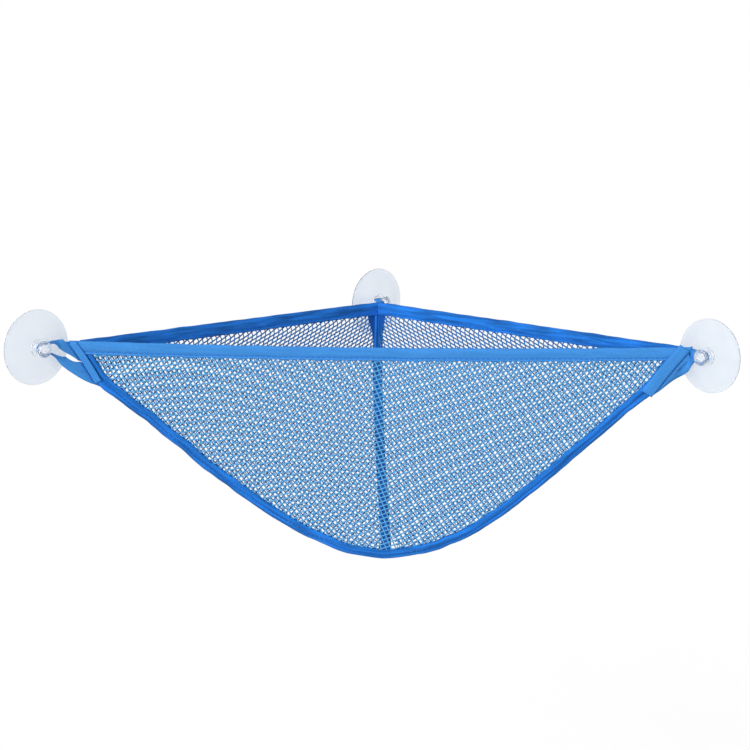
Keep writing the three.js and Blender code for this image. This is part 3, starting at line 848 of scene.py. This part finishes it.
# Back seam tape: the binding of the upright seam in the back corner, of the same woven polyester.
# It is sewn on from under the rims down to the bag's lowest point, where it meets the front seam.
back_seam_crease = 6.5 * mm


def back_seam_stations():
    """Stations of the back seam's binding, from the rims down."""
    length = (back_line[1] - back_line[0]).length * back_seam_steps
    count = steps_per_stitch * round(length / stitch_length)
    stations = []
    for i in range(count + 1):
        back, fin, through, _ = back_seam_frame(i / count)
        stations.append(stand(back + fin * seam_allowance, fin, through))
    return stations


top_up = top_through.cross(top_fin)
under_back_rim = top_back + top_up * (net_inset - rim_width - clearance)
low_end = slide(back_line[-1], front_through, front_cheek, front_through)
binding(
    "back_seam", shaded_tape_material, back_seam_stations(), seam_tape_width,
    back_seam_crease, relief=1, roll=0,
    cuts=[(under_back_rim, top_up), (low_end, -front_through)])

# Suction cups: each one moulding of clear soft PVC, with a thin disc that is pressed to the wall, a
# stepped hub, a neck for the tape loop and a mushroom head that keeps the loop on.
cup_radius = 27.5 * mm
cup_shoulder = 6 * mm
neck_radius = 2.75 * mm
neck_length = 4.2 * mm
head_radius = 6 * mm
head_height = 3.6 * mm
hollow_radius = 24.5 * mm
hollow_depth = 2.2 * mm
disc_edge = 0.9 * mm
disc_rise = 2.7 * mm
disc_flare = 0.8
hub_radius = 6.5 * mm
moulded_round = 0.45 * mm
most_of_a_side = 0.45
round_stride = 6
cup_facets = 72
pole_merge = 0.005 * mm


def soften(corners, radius):
    """A line with its corners rounded."""
    line = [corners[0]]
    for before, here, after in zip(corners, corners[1:], corners[2:]):
        near = min(radius, most_of_a_side * (here - before).length)
        far = min(radius, most_of_a_side * (after - here).length)
        start = here + (before - here).normalized() * near
        finish = here + (after - here).normalized() * far
        line += bend(start, here, finish)[::round_stride] + [finish]
    return line + [corners[-1]]


def cup_profile():
    """Half section of the cup, from the middle of its hollow round to the top of its head."""
    base = cup_shoulder + neck_length
    hollow = [(hollow_radius * share, hollow_depth * (1 - share * share))
              for share in (0, 0.2, 0.4, 0.6, 0.8, 1)]
    shoulder = [(hub_radius + share * (cup_radius - hub_radius),
                 disc_edge + disc_rise * (1 - share ** disc_flare))
                for share in (1, 0.85, 0.7, 0.55, 0.4, 0.25, 0.1, 0)]
    hub = [(hub_radius, 4.1 * mm), (6.1 * mm, 4.5 * mm), (5.2 * mm, 4.5 * mm), (5 * mm, 5.1 * mm),
           (4.3 * mm, 5.3 * mm), (4.1 * mm, cup_shoulder), (neck_radius, cup_shoulder)]
    head = [(neck_radius, base), (head_radius, base), (head_radius, base + 0.35 * head_height),
            (0.8 * head_radius, base + 0.8 * head_height),
            (0.35 * head_radius, base + head_height), (0, base + 0.9 * head_height)]
    corners = hollow + [(cup_radius, 0)] + shoulder + hub + head
    return soften([Vector((r, 0, h)) for r, h in corners], moulded_round)


# Soft clear PVC: slightly blue and milky, with the gloss of a polished mould and a faint waviness.
def clear_pvc():
    material, tree = new_material("clear_soft_pvc")
    haze_width = 9 * mm
    wave_depth = 0.3 * mm
    spot = add_node(tree, "ShaderNodeTexCoord").outputs["Object"]
    haze = add_node(
        tree, "ShaderNodeTexNoise", {"Scale": 1 / haze_width, "Detail": 3},
        {"Vector": spot}).outputs["Fac"]
    rough = add_node(
        tree, "ShaderNodeMapRange", {"To Min": 0.14, "To Max": 0.3}, {"Value": haze})
    wave = add_node(
        tree, "ShaderNodeBump", {"Strength": 0.15, "Distance": wave_depth}, {"Height": haze})
    colour = add_node(
        tree, "ShaderNodeMix", {"A": linear("#E4EEFA"), "B": linear("#F6FAFF")},
        {"Factor": haze}, data_type="RGBA")
    pvc = add_node(
        tree, "ShaderNodeBsdfPrincipled", {"IOR": 1.53, "Transmission Weight": 0.86},
        {"Base Color": colour.outputs["Result"], "Roughness": rough.outputs["Result"],
         "Normal": wave.outputs["Normal"]})
    add_node(tree, "ShaderNodeOutputMaterial", links={"Surface": pvc.outputs["BSDF"]})
    return material


cup_material = clear_pvc()
right_wall_along = Vector((1, -1, 0)).normalized()
right_wall_out = Vector((-1, -1, 0)).normalized()
cup_seats = {
    "left": (left_wall_along * 368.05 * mm, left_wall_out),
    "right": (right_wall_along * 319.76 * mm, right_wall_out),
    "back": (left_wall_along * 30.97 * mm, left_wall_out),
}
for name, (seat, out) in cup_seats.items():
    cup = bmesh.new()
    line = [cup.verts.new(p) for p in cup_profile()]
    edges = [cup.edges.new(pair) for pair in zip(line, line[1:])]
    bmesh.ops.spin(
        cup, geom=line + edges, cent=(0, 0, 0), axis=(0, 0, 1), angle=2 * math.pi,
        steps=cup_facets, use_merge=True)
    bmesh.ops.remove_doubles(cup, verts=cup.verts, dist=pole_merge)
    bmesh.ops.recalc_face_normals(cup, faces=cup.faces)
    place = Matrix.Translation(seat) @ out.to_track_quat("Z", "Y").to_matrix().to_4x4()
    bmesh.ops.transform(cup, matrix=place, verts=cup.verts)
    piece = make_piece(f"{name}_clear_cup", cup, cup_material)
    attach(piece, f"{name}_cup")
    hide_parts(f"{name}_suction_cup")

# Tape loops: a doubled strap of the rim's woven tape at each corner. Both strands are sewn behind
# the corner's short edge, and the strap narrows and turns flat to go round its cup's neck. At the
# front corners the strap's own cut end is sewn over the front of the seam.
strap_thickness = 1.1 * mm
loop_thickness = 1.5 * mm
loop_neck_width = 3.6 * mm
hinge_offset = clearance + loop_thickness / 2
neck_middle = cup_shoulder + neck_length / 2
neck_gap = 0.15 * mm
neck_steps = 20
# Shares of the short edge that the upper and the lower strand's root take up.
left_roots = 0.46, 0.52
other_roots = 0.47, 0.54
left_slack = 4.5 * mm
upper_slack = 0.4
early_twist = 0.6
late_twist = 0.8
narrow_before = 0.5
narrow_after = 0.3
square_from = 0.25
square_by = 0.8
strand_steps = 48
root_lead = 1.8 * mm
# Where a sewn root runs, in mm: out from the short edge, and behind the seam tape.
tuck = ((-5.5, 2.2), (-4.2, 2.2), (-2.8, 2.1), (-1.4, 1.6), (0.3, 0.7))


def strap_ring(width, thickness):
    """Section of a doubled tape, with a crease between its two layers."""
    half, side = width / 2, thickness / 2
    quarter = [(half - 0.15 * mm, 0.12 * side), (half, 0.5 * side),
               (half - 0.2 * mm, 0.95 * side), (0.5 * half, side)]
    ring = quarter + [(-a, s) for a, s in reversed(quarter)]
    ring += [(-a, -s) for a, s in ring]
    return [Vector((a, s, 0)) for a, s in ring]


def strand(root, root_wide, root_width, bow, twist, behind, neck_point, neck_run, neck_wide):
    """Stations of one strand, root to neck: place, way across, way ahead and width."""
    run = (neck_point - root).normalized()
    inward = (run - behind * run.dot(behind)).normalized()
    sewn = [root + inward * (out * mm) + behind * (back * mm) for out, back in tuck]
    start = root + run * root_lead
    pull = (neck_point - start).length / 3
    free = geometry.interpolate_bezier(
        start, start + run * pull + bow, neck_point - neck_run * pull + bow, neck_point,
        curve_steps)
    line = evenly(sewn + free, strand_steps)
    found = []
    for i, point in enumerate(line):
        share = i / strand_steps
        ahead = (line[min(i + 1, strand_steps)] - line[max(i - 1, 0)]).normalized()
        wide = root_wide.lerp(neck_wide, smooth_step(share, twist, 1))
        square = smooth_step(share, square_from, square_by)
        wide = (wide - ahead * (wide.dot(ahead) * square)).normalized()
        narrowed = smooth_step(share, twist - narrow_before, min(twist + narrow_after, 1))
        width = root_width + (loop_neck_width - root_width) * narrowed
        found.append((point, wide, ahead, width))
    return found


def tape_loop(top, low, roots, slack, twist, behind, neck, along, out):
    """Stations of a loop, out along one strand and back by the other, and the way off the edge."""
    down = (low - top).normalized()
    bend_radius = neck_radius + neck_gap + strap_thickness / 2
    under_head = math.sqrt((head_radius + clearance) ** 2 - (neck_radius + clearance) ** 2)
    off_edge = behind.cross(down).normalized()
    if off_edge.dot(neck - top) < 0:
        off_edge.negate()
    upper_width, lower_width = (share * (low - top).length for share in roots)
    upper_root = top + down * (clearance + upper_width / 2)
    lower_root = low - down * (clearance + lower_width / 2)
    beside = neck - along * under_head
    stations = strand(
        upper_root, down, upper_width, upward * upper_slack * slack, twist, behind,
        beside + upward * bend_radius, along, out)
    for i in range(1, neck_steps):
        angle = math.pi * i / neck_steps
        spoke = upward * math.cos(angle) + along * math.sin(angle)
        ahead = along * math.cos(angle) - upward * math.sin(angle)
        stations.append((neck + spoke * bend_radius, out, ahead, loop_neck_width))
    lower = strand(
        lower_root, -down, lower_width, upward * -slack, twist, behind,
        beside - upward * bend_radius, along, out)
    stations += [(point, wide, -ahead, width) for point, wide, ahead, width in reversed(lower)]
    return stations, off_edge


# Width of each cut end, and the share of the short edge that it reaches down.
sewn_ends = {"left": (5.2 * mm, 0.93), "right": (9 * mm, 1)}
end_thickness = 0.9 * mm
end_overhang = 0.4 * mm
end_start = 0.05
end_steps = 24
end_bow = 0.8 * mm
end_rise = 2.4 * mm


def cut_end(top, low, width, reach, behind, off_edge):
    """Stations of the strap's own end, sewn flat over the front of a corner's short edge."""
    down = (low - top).normalized()
    inset = hinge_offset + width / 2 - end_overhang
    stations = []
    for i in range(end_steps + 1):
        share = end_start + (reach - end_start) * i / end_steps
        bow = end_bow * math.sin(math.pi * share)
        over = top.lerp(low, share) - off_edge * (inset + bow) - behind * end_rise
        stations.append((over, off_edge, down, width))
    return stations


def sewn_strap(stations, thickness):
    """A doubled strap along its stations, and its length."""
    frames = []
    for point, wide, ahead, _ in stations:
        turned = Matrix((wide, ahead.cross(wide).normalized(), ahead)).transposed().to_4x4()
        frames.append(Matrix.Translation(point) @ turned)
    work = sweep(frames, lambda i: strap_ring(stations[i][3], thickness))
    return work, run_length([station[0] for station in stations])


def short_edge(top, corner):
    """Hinge line of a front corner's loop, just off the short edge."""
    out = facing_out(top, corner) * hinge_offset
    return front_place @ top + out, front_place @ corner + out


back_short_edge = 25 * mm
back_top = top_back + top_fin * seam_allowance + back_edge_out * hinge_offset
back_top -= top_ahead * net_inset
back_low = back_top + top_ahead * back_short_edge
hangers = {
    "left": (*short_edge(left_top, left_corner), left_roots, left_slack, early_twist,
             front_through, left_wall_along),
    "right": (*short_edge(right_top, right_corner), other_roots, 0, late_twist,
              front_through, right_wall_along),
    "back": (back_top, back_low, other_roots, 0, early_twist, -top_through, -left_wall_along),
}
for name, (top, low, roots, slack, twist, behind, along) in hangers.items():
    seat, out = cup_seats[name]
    neck = seat + out * neck_middle
    stations, off_edge = tape_loop(top, low, roots, slack, twist, behind, neck, along, out)
    work, length = sewn_strap(stations, strap_thickness)
    if name in sewn_ends:
        end_stations = cut_end(top, low, *sewn_ends[name], behind, off_edge)
        end_work, end_length = sewn_strap(end_stations, end_thickness)
        end_mesh = bpy.data.meshes.new(f"{name}_sewn_end")
        end_work.to_mesh(end_mesh)
        end_work.free()
        work.from_mesh(end_mesh)
        bpy.data.meshes.remove(end_mesh)
        length += end_length
    strap = make_piece(f"{name}_tape_loop", work, rim_tape_material)
    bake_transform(strap)
    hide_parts(f"{name}_loop")

# Room: a plain pale floor well below the bag, a background that lights the bag evenly and is white
# where it is seen, and a soft window to the left and in front.
floor_half = 30
floor_level = -0.62
floor_glow = 0.52
background_light = 0.45


def seen_share(tree):
    """1 where the eye sees a surface, also through clear plastic or in a gloss, and 0 elsewhere."""
    path = add_node(tree, "ShaderNodeLightPath")
    seen = path.outputs["Is Camera Ray"]
    for ray in ("Is Transmission Ray", "Is Glossy Ray"):
        either = add_node(
            tree, "ShaderNodeMath", links={0: seen, 1: path.outputs[ray]}, operation="MAXIMUM")
        seen = either.outputs["Value"]
    return seen


# Pale floor: matt grey-white board that keeps the shadow.
floor_material, floor_tree = new_material("pale_floor")
glow = add_node(
    floor_tree, "ShaderNodeMath", {1: floor_glow}, {0: seen_share(floor_tree)},
    operation="MULTIPLY")
pale = add_node(
    floor_tree, "ShaderNodeBsdfPrincipled",
    {"Base Color": linear("#DCDCDC"), "Roughness": 0.9, "Specular IOR Level": 0,
     "Emission Color": (1, 1, 1, 1)},
    {"Emission Strength": glow.outputs["Value"]})
add_node(floor_tree, "ShaderNodeOutputMaterial", links={"Surface": pale.outputs["BSDF"]})
floor_work = bmesh.new()
bmesh.ops.create_grid(
    floor_work, x_segments=1, y_segments=1, size=floor_half,
    matrix=Matrix.Translation((0, 0, floor_level)))
floor_mesh = bpy.data.meshes.new("pale_floor")
floor_work.to_mesh(floor_mesh)
floor_work.free()
floor_mesh.materials.append(floor_material)
floor = bpy.data.objects.new("pale_floor", floor_mesh)
bpy.context.scene.collection.objects.link(floor)
floor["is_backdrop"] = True

world = bpy.data.worlds.new("white_studio")
bpy.context.scene.world = world
world.use_nodes = True
studio = world.node_tree
studio.nodes.clear()
level = add_node(
    studio, "ShaderNodeMapRange", {"To Min": background_light, "To Max": 1},
    {"Value": seen_share(studio)})
white = add_node(
    studio, "ShaderNodeBackground", {"Color": (1, 1, 1, 1)},
    {"Strength": level.outputs["Result"]})
add_node(studio, "ShaderNodeOutputWorld", links={"Surface": white.outputs["Background"]})

window_data = bpy.data.lights.new("soft_window", "SUN")
window_data.energy = 2.5
window_data.angle = math.radians(40)
window = bpy.data.objects.new("soft_window", window_data)
window.rotation_euler = Vector((-0.4, -0.87, 0.3)).to_track_quat("Z", "Y").to_euler()
bpy.context.scene.collection.objects.link(window)

# Camera: in front of the corner and a little above the rims, looking down into the bag. It is
# turned a little about its line of sight, because the bag doesn't hang quite level in the view.
eye = Vector((9.754, -1708.86, 279.38)) * mm
look = Vector((-0.01804, 0.97997, -0.19832)).normalized()
roll = 0.0226
level_right = look.cross(upward).normalized()
level_up = level_right.cross(look)
camera_right = level_right * math.cos(roll) + level_up * math.sin(roll)
camera_up = level_up * math.cos(roll) - level_right * math.sin(roll)
camera_turn = Matrix((camera_right, camera_up, -look)).transposed().to_4x4()
camera_data = bpy.data.cameras.new("camera")
camera_data.lens = 99.17
camera_data.sensor_width = 36
camera = bpy.data.objects.new("camera", camera_data)
camera.matrix_world = Matrix.Translation(eye) @ camera_turn
bpy.context.scene.collection.objects.link(camera)
bpy.context.scene.camera = camera
bpy.context.scene.view_settings.view_transform = "Standard"

low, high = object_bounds()
